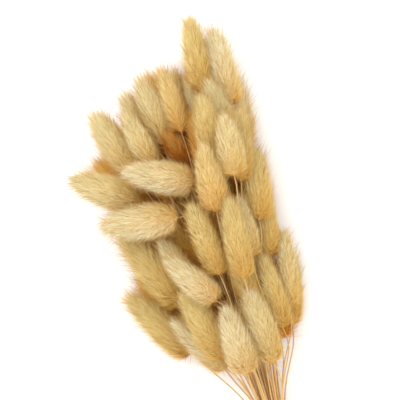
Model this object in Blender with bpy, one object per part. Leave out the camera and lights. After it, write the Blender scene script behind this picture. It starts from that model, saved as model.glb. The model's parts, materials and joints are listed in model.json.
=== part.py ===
"""A bunch of dried bunny tail grass, tied with twine and laid down on a table.

Every stalk is one solid: a thin straw stem that runs from its cut end, through the tie, to a soft
egg-shaped head covered in pointed tufts. Twine wound three times round the stems holds the bunch.
The bunch lies along +Y with its heads away from the tie, and the table is the plane Z = 0.
The origin is on the table, under the middle of the bunch. The layout below is in millimetres, from
the middle of the tie.
"""

import math
from dataclasses import dataclass

import bmesh
import bpy
import numpy as np
from mathutils import Vector

MM = 0.001
SEED = 7

# Stems
STEM_RADIUS = 0.65
NECK_RADIUS = 0.5
NECK_LENGTH = 13.0
STEM_SINKS_IN = 8.0
STEM_GAP = 0.4
STEM_TO_HEAD_GAP = 0.8
STEM_SIDES = 4
STEM_JOINT_SPACING = 26.0
STEM_BOW_ACROSS = 2.3
STEM_BOW_UP = 1.6
TAIL_SHORTEST = 62.0
TAIL_LONGEST = 74.0
TAIL_SPREAD_ACROSS = 1.7
TAIL_SPREAD_UP = 1.2

# The tie
TWINE_RADIUS = 1.0
TWINE_SIDES = 6
TWINE_TURNS = 3
TWINE_GAP = 0.3
TWINE_CLEARANCE = 0.4
STEPS_A_TURN = 20
KNOT_SIZE = 1.5
KNOT_FLATNESS = 0.8
KNOT_STEPS = 36
KNOT_LIFT = 0.3
TIE_HALF_LENGTH = 8.0

# Heads
HEAD_GAP = 0.9
SOLID_SHARE = 0.95
WIDEST_AT = 0.38
BLUNTNESS = 0.6
TUFT_COLUMNS = 8
TUFT_ROWS = 11
TUFT_VALLEY = 0.82
TUFT_REACH = 0.85
TUFT_UNEVENNESS = 0.06
TABLE_SQUASH = 0.72

# Each head: where its stem enters it, its tip, and how wide its fluff is.
# X runs across the bunch, Y along it from the tie, and Z up from the table.
HEADS_ON_TOP = (
    ((-6, 85, 52), (-8, 133, 58), 22),
    ((10, 86, 52), (8, 141, 60), 20),
    ((-19, 99, 46), (-34, 152, 54), 21),
    ((-13, 141, 56), (-37, 178, 66), 19),
    ((-24, 150, 44), (-39, 193, 50), 17),
    ((-21, 206, 66), (-72, 215, 66), 25),
    ((-2, 226, 64), (-47, 247, 70), 23),
    ((6, 200, 66), (10, 247, 74), 20),
    ((-6, 157, 60), (-11, 211, 70), 18),
    ((9, 150, 62), (13, 208, 67), 17),
    ((19, 163, 58), (22, 206, 62), 15),
    ((14, 236, 58), (18, 280, 64), 20),
    ((22, 222, 62), (28, 262, 67), 19),
    ((-29, 243, 50), (-37, 284, 54), 17),
)
HEADS_BETWEEN = (
    ((-21, 90, 22), (-49, 137, 28), 18),
    ((-38, 108, 24), (-71, 160, 26), 21),
    ((-37, 143, 34), (-62, 205, 40), 24),
    ((-43, 224, 48), (-84, 252, 50), 25),
    ((-43, 243, 42), (-58, 291, 44), 23),
    ((-29, 252, 34), (-33, 298, 34), 16),
    ((-15, 256, 40), (-18, 303, 40), 17),
    ((-4, 262, 44), (-4, 308, 42), 14),
    ((2, 260, 34), (4, 303, 32), 15),
    ((0, 236, 36), (-11, 263, 56), 15),
    ((23, 284, 46), (27, 336, 42), 17),
    ((33, 270, 45), (38, 323, 41), 17),
    ((34, 247, 40), (41, 297, 38), 17),
    ((37, 239, 28), (45, 286, 26), 16),
    ((29, 243, 44), (28, 290, 46), 18),
    ((27, 216, 46), (39, 263, 48), 17),
    ((32, 186, 38), (42, 237, 40), 20),
    ((31, 158, 38), (41, 215, 34), 18),
    ((34, 118, 26), (47, 174, 26), 15),
    ((32, 106, 16), (47, 158, 14), 16),
    ((26, 107, 42), (26, 162, 46), 17),
    ((12, 128, 54), (7, 185, 49), 18),
    ((14, 250, 36), (12, 297, 38), 17),
    ((-8, 246, 26), (-13, 290, 24), 16),
    ((5, 228, 40), (7, 272, 40), 17),
    ((-35, 232, 28), (-47, 273, 26), 18),
    ((3, 160, 36), (3, 204, 44), 16),
    ((-16, 160, 40), (-28, 202, 46), 17),
)
HEADS_UNDERNEATH = (
    ((-12, 92, 12), (-24, 142, 8), 22),
    ((5, 88, 10), (6, 138, 8), 21),
    ((20, 98, 12), (30, 148, 8), 20),
    ((-34, 120, 12), (-60, 167, 8), 21),
    ((-22, 128, 14), (-40, 176, 8), 21),
    ((-6, 132, 14), (-12, 182, 8), 21),
    ((18, 140, 14), (24, 190, 8), 21),
    ((-36, 172, 16), (-56, 220, 8), 22),
    ((-14, 176, 18), (-18, 228, 8), 22),
    ((8, 182, 18), (14, 234, 8), 21),
    ((28, 184, 18), (42, 232, 9), 20),
    ((-40, 216, 20), (-66, 258, 9), 22),
    ((-24, 216, 20), (-34, 268, 8), 22),
    ((-2, 216, 20), (-3, 268, 8), 22),
    ((21, 222, 20), (32, 274, 9), 21),
    ((-6, 258, 22), (-12, 304, 10), 20),
    ((18, 262, 22), (24, 312, 12), 20),
)
HEADS = HEADS_ON_TOP + HEADS_BETWEEN + HEADS_UNDERNEATH
FIRST_UNDERNEATH = len(HEADS_ON_TOP) + len(HEADS_BETWEEN)

# How the heads settle: each step moves a head by a share of what it runs into
HEAD_STEPS = 320
HEAD_MOVE = 0.25
HEAD_FREEDOM = (0.45, 0.35, 1.0)
TOP_HEADS_SINK = 0.2
RETURN_TO_LAYOUT = 0.03
DRIFT_TO_TABLE = 0.05
NECK_BALLS = (-1.0, -0.6, -0.3)
HEAD_BALLS = np.linspace(0.06, 0.97, 10)

# How the stems are routed
STEM_STEPS = 520
STEM_MOVE = 1.5
STEM_TEST_SPACING = 4.0
STEM_EASE = 0.12
TINY = 1e-9


@dataclass
class Heads:
    """Where each head's stem enters, where its tip is, and its greatest radius."""

    base: np.ndarray
    tip: np.ndarray
    radius: np.ndarray

    def length(self):
        return np.linalg.norm(self.tip - self.base, axis=1)

    def axis(self):
        return (self.tip - self.base) / self.length()[:, None]

    def neck(self):
        return self.base - self.axis() * NECK_LENGTH


@dataclass
class StemNet:
    """Every stem as a row of joints, and the levels along the bunch at which they are tested."""

    levels: np.ndarray
    knots: list
    weights: np.ndarray
    joints: np.ndarray
    free: np.ndarray

    def at_levels(self):
        return np.einsum("slk,skc->slc", self.weights, self.joints)

    def used(self):
        return self.weights.sum(axis=2) > 0


def head_outline(along):
    """A head's radius as a share of its greatest, from 0 where the stem enters to 1 at the tip."""
    power = math.log(0.5) / math.log(WIDEST_AT)
    return np.sin(math.pi * np.clip(along, 0.0, 1.0) ** power) ** BLUNTNESS


def balls_of(heads):
    """Balls that fill each neck and head: how far along they lie, their centres and their radii."""
    along = np.concatenate([NECK_BALLS, HEAD_BALLS])
    in_neck = along < 0
    length = heads.length()[:, None]
    share = np.where(in_neck, along * NECK_LENGTH / length, along)
    centres = heads.base[:, None] + share[..., None] * (heads.tip - heads.base)[:, None]
    radii = np.where(in_neck, STEM_RADIUS, heads.radius[:, None] * head_outline(along))
    return share, centres, radii


def push_balls_apart(centres, radii):
    """The mean push that each ball gets from the balls of other heads."""
    count, links = radii.shape
    owner = np.repeat(np.arange(count), links)
    balls, sizes = centres.reshape(-1, 3), radii.reshape(-1)
    apart = balls[:, None] - balls[None]
    distance = np.linalg.norm(apart, axis=2) + TINY
    short = np.clip(sizes[:, None] + sizes[None] + HEAD_GAP - distance, 0.0, None)
    short[owner[:, None] == owner[None]] = 0.0
    push = (apart / distance[..., None] * short[..., None]).sum(axis=1)
    touched = np.clip((short > 0).sum(axis=1), 1, None)
    return (push / touched[:, None]).reshape(count, links, 3)


def settle_heads():
    """Pushes the heads of the layout apart, mostly up and down, until none runs into another."""
    heads = Heads(
        np.array([head[0] for head in HEADS], float),
        np.array([head[1] for head in HEADS], float),
        np.array([head[2] for head in HEADS]) / 2 * SOLID_SHARE,
    )
    wanted_base, wanted_tip = heads.base[:, :2].copy(), heads.tip[:, :2].copy()
    length = heads.length()[:, None]
    sinking = np.ones((len(HEADS), 1))
    sinking[: len(HEADS_ON_TOP)] = TOP_HEADS_SINK
    for step in range(HEAD_STEPS):
        share, centres, radii = balls_of(heads)
        push = push_balls_apart(centres, radii) * HEAD_FREEDOM
        push[..., 2] *= np.where(push[..., 2] < 0, sinking, 1.0)
        push[..., 2] += 2 * np.clip(radii * TABLE_SQUASH - centres[..., 2], 0.0, None)
        towards_tip = np.clip(share, 0.0, 1.0)[..., None]
        heads.base += (push * (1 - towards_tip)).sum(axis=1) * HEAD_MOVE
        heads.tip += (push * towards_tip).sum(axis=1) * HEAD_MOVE
        settling = RETURN_TO_LAYOUT * (1 - step / HEAD_STEPS)
        heads.base[:, :2] += (wanted_base - heads.base[:, :2]) * settling
        heads.tip[:, :2] += (wanted_tip - heads.tip[:, :2]) * settling
        heads.tip[FIRST_UNDERNEATH:, 2] -= DRIFT_TO_TABLE
        heads.tip = heads.base + heads.axis() * length
    return heads


def tie_places(count):
    """Places for the stems inside the tie, packed like a honeycomb round its middle, and their reach."""
    pitch = 2 * STEM_RADIUS + STEM_GAP
    rows = range(-count // 4, count // 4)
    grid = np.array([((i + j % 2 / 2) * pitch, j * pitch * math.sqrt(3) / 2) for i in rows for j in rows])
    nearest = np.argsort(np.hypot(*grid.T), kind="stable")[:count]
    places = grid[nearest] - grid[nearest].mean(axis=0)
    return places, np.hypot(*places.T).max() + STEM_RADIUS


def match_places(places, aims):
    """Gives each stem the place in the tie that lies towards its own head, so that no two stems cross."""
    taken = np.arange(len(places))
    changed = True
    while changed:
        changed = False
        for i in range(len(taken)):
            for j in range(i):
                apart = places[taken[i]] - places[taken[j]]
                if apart @ (aims[i] - aims[j]) < -TINY:
                    taken[i], taken[j] = taken[j], taken[i]
                    changed = True
    return places[taken]


def bowed_stems(start, neck):
    """Stems that leave the tie together and bow out to their necks, before they meet anything."""
    levels = np.arange(TIE_HALF_LENGTH, neck[:, 1].max() + STEM_TEST_SPACING, STEM_TEST_SPACING)
    reach = neck[:, 1] - TIE_HALF_LENGTH
    counts = np.maximum(2, np.round(reach / STEM_JOINT_SPACING).astype(int) + 1)
    knots = [np.linspace(TIE_HALF_LENGTH, end, count) for end, count in zip(neck[:, 1], counts)]
    weights = np.zeros((len(neck), len(levels), counts.max()))
    joints = np.zeros((len(neck), counts.max(), 2))
    free = np.zeros((len(neck), counts.max(), 1), bool)
    bow = (STEM_BOW_ACROSS, STEM_BOW_UP)
    for i, row in enumerate(knots):
        place = np.interp(levels, row, np.arange(len(row)))
        near = np.clip(1 - np.abs(place[:, None] - np.arange(len(row))), 0.0, 1.0)
        weights[i, :, : len(row)] = near * (levels <= row[-1])[:, None]
        share = np.linspace(0.0, 1.0, len(row))[:, None] ** bow
        joints[i, : len(row)] = start[i] + share * (neck[i, [0, 2]] - start[i])
        free[i, 1 : len(row) - 1] = True
    return StemNet(levels, knots, weights, joints, free)


def push_from_heads(here, levels, heads):
    """How far each point of a stem has to move to clear every head and neck but its own."""
    points = np.stack([here[..., 0], np.broadcast_to(levels, here.shape[:2]), here[..., 1]], axis=2)
    length, axis = heads.length(), heads.axis()
    offset = points[:, :, None] - heads.base
    along = np.clip((offset * axis).sum(axis=3), -NECK_LENGTH, length)
    radial = offset - along[..., None] * axis
    distance = np.linalg.norm(radial, axis=3) + TINY
    width = np.where(along < 0, STEM_RADIUS, heads.radius * head_outline(along / length))
    short = np.clip(width + STEM_RADIUS + STEM_TO_HEAD_GAP - distance, 0.0, None)
    own = np.arange(len(length))
    short[own, :, own] = 0.0
    return (radial / distance[..., None] * short[..., None]).sum(axis=2)[..., [0, 2]]


def push_from_stems(here, used):
    """How far each point of a stem has to move to clear the stems beside it at its level."""
    apart = here[:, None] - here[None]
    distance = np.linalg.norm(apart, axis=3) + TINY
    short = np.clip(2 * STEM_RADIUS + STEM_GAP - distance, 0.0, None)
    short *= used[:, None] & used[None] & ~np.eye(len(here), dtype=bool)[..., None]
    return (apart / distance[..., None] * short[..., None]).sum(axis=1) / 2


def route_stems(start, heads):
    """Leads each stem from the tie to its neck, round the heads and the stems in its way."""
    net = bowed_stems(start, heads.neck())
    unforced = net.joints.copy()
    used = net.used()
    weight_on_joint = np.clip(net.weights.sum(axis=1), TINY, None)[..., None]
    for step in range(STEM_STEPS):
        here = net.at_levels()
        push = push_from_heads(here, net.levels, heads) + push_from_stems(here, used)
        push[..., 1] += np.clip(STEM_RADIUS + STEM_GAP - here[..., 1], 0.0, None)
        push *= used[..., None]
        change = np.einsum("slk,slc->skc", net.weights, push) / weight_on_joint * STEM_MOVE
        forced = net.joints - unforced
        ease = (forced[:, :-2] + forced[:, 2:]) / 2 - forced[:, 1:-1]
        change[:, 1:-1] += ease * STEM_EASE * max(0.0, 1 - 1.3 * step / STEM_STEPS)
        net.joints += np.where(net.free, change, 0.0)
    return [
        np.column_stack([joints[: len(row), 0], row, joints[: len(row), 1]])
        for joints, row in zip(net.joints, net.knots)
    ]


def material(name, colour, roughness):
    """A plain Principled material in linear colour."""
    made = bpy.data.materials.new(name)
    made.use_nodes = True
    shader = made.node_tree.nodes["Principled BSDF"]
    shader.inputs["Base Color"].default_value = (*colour, 1.0)
    shader.inputs["Roughness"].default_value = roughness
    shader.inputs["Metallic"].default_value = 0.0
    return made


def head_mesh(name, base, tip, radius, phase, chance):
    """An egg-shaped head whose rows of tufts point out and towards the tip, pressed flat on the table.

    Rows and columns of points alternate between the ends of tufts and the valleys between them.
    """
    mesh = bmesh.new()
    bmesh.ops.create_uvsphere(mesh, u_segments=TUFT_COLUMNS, v_segments=TUFT_ROWS, radius=1.0)
    axis = Vector(tip - base)
    turn = axis.to_track_quat("Z", "Y").to_matrix()
    column_angle = 2 * math.pi / TUFT_COLUMNS
    valleys = set()
    for vert in mesh.verts:
        row = round(math.acos(max(-1.0, min(1.0, vert.co.z))) / math.pi * TUFT_ROWS)
        column = round(math.atan2(vert.co.y, vert.co.x) / column_angle)
        along = 1 - row / TUFT_ROWS
        out = radius * head_outline(along) * (1 - chance.random() * TUFT_UNEVENNESS)
        if (row + column) % 2:
            valleys.add(vert)
            out *= TUFT_VALLEY
        elif 0 < row < TUFT_ROWS:
            along += TUFT_REACH / TUFT_ROWS
        around = (column + phase) * column_angle
        place = Vector((out * math.cos(around), out * math.sin(around), along * axis.length))
        place = Vector(base) + turn @ place
        place.z = max(place.z, 0.0)
        vert.co = place * MM
    for face in [face for face in mesh.faces if len(face.verts) == 4]:
        low = [vert for vert in face.verts if vert in valleys]
        bmesh.utils.face_split(face, low[0], low[1])
    made = bpy.data.meshes.new(name)
    mesh.to_mesh(made)
    mesh.free()
    return made


def wire_mesh(name, points, radius, thickness, sides, closed=False):
    """A round wire through the points, as one closed mesh. Thickness scales the radius at each point."""
    curve = bpy.data.curves.new(name, "CURVE")
    curve.dimensions = "3D"
    curve.bevel_depth = radius * MM
    curve.bevel_resolution = (sides - 4) // 2
    curve.use_fill_caps = True
    line = curve.splines.new("POLY")
    line.points.add(len(points) - 1)
    line.use_cyclic_u = closed
    for spot, point, scale in zip(line.points, points, thickness):
        spot.co = (*(np.array(point) * MM), 1.0)
        spot.radius = scale
    holder = bpy.data.objects.new(name, curve)
    bpy.context.scene.collection.objects.link(holder)
    evaluated = holder.evaluated_get(bpy.context.evaluated_depsgraph_get())
    made = bpy.data.meshes.new_from_object(evaluated)
    bpy.data.objects.remove(holder)
    bpy.data.curves.remove(curve)
    welded = bmesh.new()
    welded.from_mesh(made)
    bmesh.ops.remove_doubles(welded, verts=welded.verts, dist=1e-6)
    bmesh.ops.recalc_face_normals(welded, faces=welded.faces)
    welded.to_mesh(made)
    welded.free()
    return made


def joined(name, meshes, collection):
    """One solid from overlapping meshes, by one union on a collection that is then emptied."""
    whole = bpy.data.objects.new(name, meshes[0])
    collection.objects.link(whole)
    others = bpy.data.collections.new("joining")
    bpy.context.scene.collection.children.link(others)
    for mesh in meshes[1:]:
        others.objects.link(bpy.data.objects.new(mesh.name, mesh))
    union = whole.modifiers.new("union", "BOOLEAN")
    union.operation = "UNION"
    union.operand_type = "COLLECTION"
    union.collection = others
    union.solver = "EXACT"
    union.material_mode = "TRANSFER"
    evaluated = whole.evaluated_get(bpy.context.evaluated_depsgraph_get())
    result = bpy.data.meshes.new_from_object(evaluated)
    whole.modifiers.clear()
    whole.data = result
    for other in list(others.objects):
        bpy.data.objects.remove(other)
    bpy.data.collections.remove(others)
    for mesh in meshes:
        bpy.data.meshes.remove(mesh)
    result.name = name
    return whole


def stem_points(place, path, base, axis, tie_height, tail):
    """A stem's line from its cut end, straight through the tie and along its route into its head."""
    across = place[0] * TAIL_SPREAD_ACROSS
    up = tie_height + (place[1] - tie_height) * TAIL_SPREAD_UP
    before_tie = (place[0], -TIE_HALF_LENGTH, place[1])
    return [(across, -tail, up), before_tie, *path, base + axis * STEM_SINKS_IN]


def make_stalks(collection, heads, places, paths, tie_height):
    """One solid for each stalk: its stem, and the head at its end."""
    fluff = material("dried seed fluff", (0.72, 0.52, 0.27), 0.95)
    straw = material("dry straw stem", (0.60, 0.42, 0.20), 0.6)
    chance = np.random.default_rng(SEED)
    axes = heads.axis()
    stalks = []
    for i, path in enumerate(paths):
        number = f"{i + 1:02d}"
        tail = chance.uniform(TAIL_SHORTEST, TAIL_LONGEST)
        points = stem_points(places[i], path, heads.base[i], axes[i], tie_height, tail)
        thickness = np.linspace(1.0, NECK_RADIUS / STEM_RADIUS, len(points))
        stem = wire_mesh(f"stem_{number}", points, STEM_RADIUS, thickness, STEM_SIDES)
        stem.materials.append(straw)
        phase = 0.5 if i >= FIRST_UNDERNEATH else chance.random()
        head = head_mesh(f"head_{number}", heads.base[i], heads.tip[i], heads.radius[i], phase, chance)
        head.materials.append(fluff)
        stalk = joined(f"stalk_{number}", [stem, head], collection)
        stalk.data.shade_smooth()
        stalk.data.set_sharp_from_angle(angle=math.radians(50))
        stalks.append(stalk)
    return stalks


def twine_turns(ring, tie_height):
    """The twine's line round the stems, from under the bunch to under the bunch again."""
    pitch = 2 * TWINE_RADIUS + TWINE_GAP
    turns = []
    for step in range(TWINE_TURNS * STEPS_A_TURN + 1):
        angle = 2 * math.pi * step / STEPS_A_TURN - math.pi / 2
        along = (step / STEPS_A_TURN - TWINE_TURNS / 2) * pitch
        turns.append((ring * math.cos(angle), along, tie_height + ring * math.sin(angle)))
    return turns


def overhand_knot(height):
    """The line of an overhand knot that lies flat at a height over the middle of the tie."""
    line = []
    for step in range(KNOT_STEPS):
        angle = 2 * math.pi * step / KNOT_STEPS
        across = math.sin(angle) + 2 * math.sin(2 * angle)
        along = math.cos(angle) - 2 * math.cos(2 * angle)
        up = -math.sin(3 * angle) * KNOT_FLATNESS
        line.append((across * KNOT_SIZE, along * KNOT_SIZE, height + up * KNOT_SIZE))
    return line


def make_tie(collection, ring, tie_height):
    """The twine round the stems, with its knot on top."""
    jute = material("jute twine", (0.36, 0.24, 0.12), 0.9)
    turns = twine_turns(ring, tie_height)
    coil = wire_mesh("coil", turns, TWINE_RADIUS, np.ones(len(turns)), TWINE_SIDES)
    coil.materials.append(jute)
    line = overhand_knot(tie_height + ring + TWINE_RADIUS + KNOT_LIFT)
    knot = wire_mesh("knot", line, TWINE_RADIUS, np.ones(len(line)), TWINE_SIDES, closed=True)
    knot.materials.append(jute)
    tie = joined("tie", [coil, knot], collection)
    tie.data.shade_smooth()
    return tie


def rest_on_origin(pieces):
    """Hangs the pieces on an empty that brings the middle of the bunch over the origin."""
    corners = np.array([vert.co for piece in pieces for vert in piece.data.vertices])
    middle = (corners.min(axis=0) + corners.max(axis=0)) / 2
    bunch = bpy.data.objects.new("bunch", None)
    bunch.location = (-middle[0], -middle[1], 0.0)
    bpy.context.scene.collection.objects.link(bunch)
    for piece in pieces:
        piece.parent = bunch


def main():
    for thing in list(bpy.data.objects):
        bpy.data.objects.remove(thing)
    grass = bpy.data.collections.new("dried_bunny_tail_grass")
    bpy.context.scene.collection.children.link(grass)

    heads = settle_heads()
    slots, reach = tie_places(len(HEADS))
    ring = reach + TWINE_CLEARANCE + TWINE_RADIUS
    tie_height = ring + TWINE_RADIUS
    neck = heads.neck()
    aims = (neck[:, [0, 2]] - (0.0, tie_height)) / neck[:, 1:2]
    places = match_places(slots, aims) + (0.0, tie_height)
    paths = route_stems(places, heads)

    stalks = make_stalks(grass, heads, places, paths, tie_height)
    tie = make_tie(grass, ring, tie_height)
    rest_on_origin([*stalks, tie])


if __name__ == "__main__":
    main()
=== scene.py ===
"""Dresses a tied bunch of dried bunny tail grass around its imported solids.

Each stalk of the frame becomes two pieces that stay where its solid is: a straw stem, and a soft
head whose hairs, stray hairs and awns are blades of mesh raised from a smaller core. The tie
becomes three turns of twisted jute twine with a knot. Lengths are metres in the frame's axes: the
bunch lies along +Y on the table, and +Z is up.
"""

import json
import logging
import math
from dataclasses import dataclass, field, replace
from enum import Enum
from typing import Any

import bmesh
import bpy
import numpy as np
from bpy.types import Material, Node, NodeSocket, NodeTree, Object
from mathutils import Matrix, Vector
from mathutils.bvhtree import BVHTree

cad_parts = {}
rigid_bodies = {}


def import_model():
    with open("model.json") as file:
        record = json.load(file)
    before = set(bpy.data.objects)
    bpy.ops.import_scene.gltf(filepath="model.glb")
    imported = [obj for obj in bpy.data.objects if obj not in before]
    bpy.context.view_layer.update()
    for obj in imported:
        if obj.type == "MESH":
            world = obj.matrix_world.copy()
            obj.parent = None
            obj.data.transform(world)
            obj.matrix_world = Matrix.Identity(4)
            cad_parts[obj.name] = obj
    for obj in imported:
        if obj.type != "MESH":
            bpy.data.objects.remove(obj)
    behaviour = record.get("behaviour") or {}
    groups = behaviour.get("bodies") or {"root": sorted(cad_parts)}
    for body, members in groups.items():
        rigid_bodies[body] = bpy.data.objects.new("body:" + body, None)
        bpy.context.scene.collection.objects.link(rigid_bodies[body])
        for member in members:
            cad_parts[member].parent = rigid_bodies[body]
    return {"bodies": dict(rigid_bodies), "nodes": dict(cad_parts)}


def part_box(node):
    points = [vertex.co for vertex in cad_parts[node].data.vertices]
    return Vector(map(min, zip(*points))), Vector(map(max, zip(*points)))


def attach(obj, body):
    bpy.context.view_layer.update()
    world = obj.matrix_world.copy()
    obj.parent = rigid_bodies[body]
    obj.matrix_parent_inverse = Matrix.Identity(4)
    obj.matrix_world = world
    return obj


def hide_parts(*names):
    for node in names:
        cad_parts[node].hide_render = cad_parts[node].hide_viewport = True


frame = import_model()

MM = 0.001
SEED = 11
HEAD_SEED = SEED + 1000
BODY = "root"
COLOUR_MAP = "OFBake"
LOG = logging.getLogger("bunny_tail_grass")

# The colour map's u axis holds the fluff's own hairs first. Stray hairs follow from the first of these
# places on, and awns from the second. A hair's map is a strip of one width.
STRAY_COLOURS_FROM = 0.8
AWN_COLOURS_FROM = 0.9
HAIR_STRIP = 0.02

# How far chance moves a hair's colour along the head, and how pale a head open to the sky is at its base.
CHANCE_IN_COLOUR = 0.4
PALENESS_AT_BASE = 0.3

# Hairs grow denser and longer from this share of the way to a head's tip on.
TIP_FROM = 0.55

# Bend, width and length of the smallest and the largest hairs, as shares of the middle one's.
HAIR_SIZES = ((0.5, 0.75, 0.65), (1.5, 1.25, 1.2))

# Hairs that would go through the table end this far above it.
TABLE_CLEARANCE = 0.1 * MM

# Where heads are widest, as a share of their length, and how blunt they are, each between two values.
WIDEST_BETWEEN = (0.38, 0.48)
BLUNTNESS_BETWEEN = (0.4, 0.5)
LONG_REACH = 1.35

# The middle of the picture, from the middle of the tie, and its height over the table.
VIEW_FROM_TIE = (-4.2 * MM, 213.8 * MM)
VIEW_HEIGHT = 45.0 * MM


def linear(hex_colour: str) -> tuple[float, float, float, float]:
    """Turns an sRGB hex colour into linear red, green, blue and alpha.

    Args:
        hex_colour: The colour, such as "#E3C48A".

    Returns:
        The four linear values.
    """
    values = [int(hex_colour[i : i + 2], 16) / 255 for i in (1, 3, 5)]
    return (*(v / 12.92 if v <= 0.04045 else ((v + 0.055) / 1.055) ** 2.4 for v in values), 1.0)


def add_node(tree: NodeTree, kind: str, inputs: dict[str | int, Any], **settings: Any) -> Any:
    """Adds a node with its settings, its input values and the links into it.

    Args:
        tree: The node tree that gets the node.
        kind: The node's type name.
        inputs: Input name or number, and the value for it or the output socket to link from.
        **settings: Properties of the node.

    Returns:
        The new node.
    """
    node = tree.nodes.new(kind)
    for name, value in settings.items():
        setattr(node, name, value)
    for key, value in inputs.items():
        socket = (
            node.inputs[key]
            if isinstance(key, int)
            else next(s for s in node.inputs if s.name == key and s.enabled)
        )
        for source in value if isinstance(value, list) else [value]:
            if isinstance(source, NodeSocket):
                tree.links.new(source, socket)
            else:
                socket.default_value = source
    return node


def out(node: Any) -> NodeSocket:
    """Returns the node's first output that is in use."""
    return next(socket for socket in node.outputs if socket.enabled)


def add_ramp(tree: NodeTree, factor: Any, stops: dict[float, str]) -> NodeSocket:
    """Adds a colour ramp.

    Args:
        tree: The material's tree.
        factor: The socket that the ramp follows.
        stops: Place along the ramp, and its sRGB hex colour.

    Returns:
        The ramp's colour socket.
    """
    ramp = add_node(tree, "ShaderNodeValToRGB", {"Fac": factor})
    elements = ramp.color_ramp.elements
    while len(elements) < len(stops):
        elements.new(0.5)
    for element, (place, colour) in zip(elements, stops.items()):
        element.position = place
        element.color = linear(colour)
    return ramp.outputs["Color"]


def calc(tree: NodeTree, operation: str, *values: Any) -> NodeSocket:
    """Adds a node that reckons with numbers, and returns its result."""
    return out(add_node(tree, "ShaderNodeMath", dict(enumerate(values)), operation=operation))


def vector(tree: NodeTree, operation: str, first: Any, second: Any) -> NodeSocket:
    """Adds a node that reckons with two vectors, or scales one by a number, and returns its result."""
    key = 3 if operation == "SCALE" else 1
    return out(add_node(tree, "ShaderNodeVectorMath", {0: first, key: second}, operation=operation))


def stored(tree: NodeTree, name: str, kind: str = "FLOAT") -> NodeSocket:
    """Adds a node that reads a named attribute, and returns its value."""
    return out(add_node(tree, "GeometryNodeInputNamedAttribute", {"Name": name}, data_type=kind))


def drawn(tree: NodeTree, low: Any, high: Any, seed: Any) -> NodeSocket:
    """Adds a node that draws a number or a vector between two, and returns its value."""
    kind = "FLOAT_VECTOR" if isinstance(low, tuple) else "FLOAT"
    inputs = {"Min": low, "Max": high, "Seed": seed}
    return out(add_node(tree, "FunctionNodeRandomValue", inputs, data_type=kind))


def spread(tree: NodeTree, value: Any, low: Any, high: Any, start: float = 0.0) -> Any:
    """Adds a node that spreads a value, from start to 1, between two others, and returns its result."""
    inputs = {"Value": value, "From Min": start, "To Min": low, "To Max": high}
    return out(add_node(tree, "ShaderNodeMapRange", inputs))


def blend(tree: NodeTree, factor: Any, first: Any, second: Any, kind: str = "MIX") -> Any:
    """Adds a node that blends two colours, and returns the colour."""
    inputs = {0: factor, 6: first, 7: second}
    return add_node(tree, "ShaderNodeMix", inputs, data_type="RGBA", blend_type=kind).outputs[2]


def end_tree(tree: NodeTree, shape: Any, material: Any) -> NodeTree:
    """Ends a Geometry Nodes tree with a real mesh, shaded smooth and in one material."""
    soft = add_node(tree, "GeometryNodeSetShadeSmooth", {"Geometry": out(shape)})
    real = add_node(tree, "GeometryNodeRealizeInstances", {"Geometry": out(soft)})
    dressed = add_node(tree, "GeometryNodeSetMaterial", {"Geometry": out(real), "Material": material})
    add_node(tree, "NodeGroupOutput", {"Geometry": out(dressed)})
    return tree


def placed(name: str, data: Any) -> Object:
    """Makes an object of a mesh, lamp or camera and links it to the scene."""
    made = bpy.data.objects.new(name, data)
    bpy.context.scene.collection.objects.link(made)
    return made


def hang(piece: Object, node: str) -> Object:
    """Hangs a piece on the frame, in the place of a solid.

    Args:
        piece: The piece.
        node: The solid that it stands for.

    Returns:
        The same piece.
    """
    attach(piece, BODY)
    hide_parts(node)
    return piece


def new_material(name: str) -> tuple[Material, NodeTree, Node]:
    """Makes a material that holds a Principled shader.

    Args:
        name: The material's name.

    Returns:
        The material, its tree and its shader node.
    """
    made = bpy.data.materials.new(name)
    made.use_nodes = True
    return made, made.node_tree, made.node_tree.nodes["Principled BSDF"]


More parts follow.
